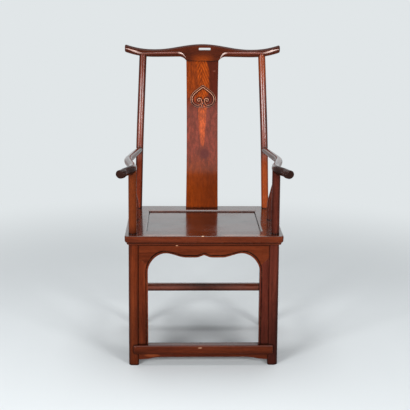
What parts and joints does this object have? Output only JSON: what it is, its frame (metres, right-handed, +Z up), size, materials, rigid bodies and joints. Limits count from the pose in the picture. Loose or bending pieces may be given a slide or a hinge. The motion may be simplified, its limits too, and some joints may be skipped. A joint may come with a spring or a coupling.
{
  "type": "armchair",
  "caption": "Yoke-back hardwood armchair with an open frame, a curved back splat, arms that reach past their posts, a sunk seat board, shaped aprons and stepped stretchers.",
  "frame": {"origin": "on the floor under the middle of the chair's bounding box", "axes": "+Z up, the chair faces -Y, +X to the right as one looks at its front"},
  "size_m": [0.6386, 0.5756, 1.1765],
  "materials": {
    "frame_wood": "glossy lacquer",
    "splat_wood": "glossy lacquer",
    "panel_wood": "glossy lacquer"
  },
  "bodies": {
    "root": {"crest_rail": "frame_wood", "back_splat": "splat_wood", "back_post_left": "frame_wood", "front_post_left": "frame_wood", "arm_left": "frame_wood", "side_post_left": "frame_wood", "side_stretcher_left": "frame_wood", "seat_batten_left": "frame_wood", "seat_rail_left": "frame_wood", "side_apron_left_top": "frame_wood", "side_apron_left_front": "frame_wood", "side_apron_left_back": "frame_wood", "front_apron_left": "frame_wood", "back_post_right": "frame_wood", "front_post_right": "frame_wood", "arm_right": "frame_wood", "side_post_right": "frame_wood", "side_stretcher_right": "frame_wood", "seat_batten_right": "frame_wood", "seat_rail_right": "frame_wood", "side_apron_right_top": "frame_wood", "side_apron_right_front": "frame_wood", "side_apron_right_back": "frame_wood", "front_apron_right": "frame_wood", "seat_rail_front": "frame_wood", "seat_rail_back": "frame_wood", "seat_panel": "panel_wood", "front_apron_top": "frame_wood", "back_apron": "frame_wood", "foot_rail": "frame_wood", "foot_apron": "frame_wood", "back_stretcher": "frame_wood"}
  },
  "joints": []
}
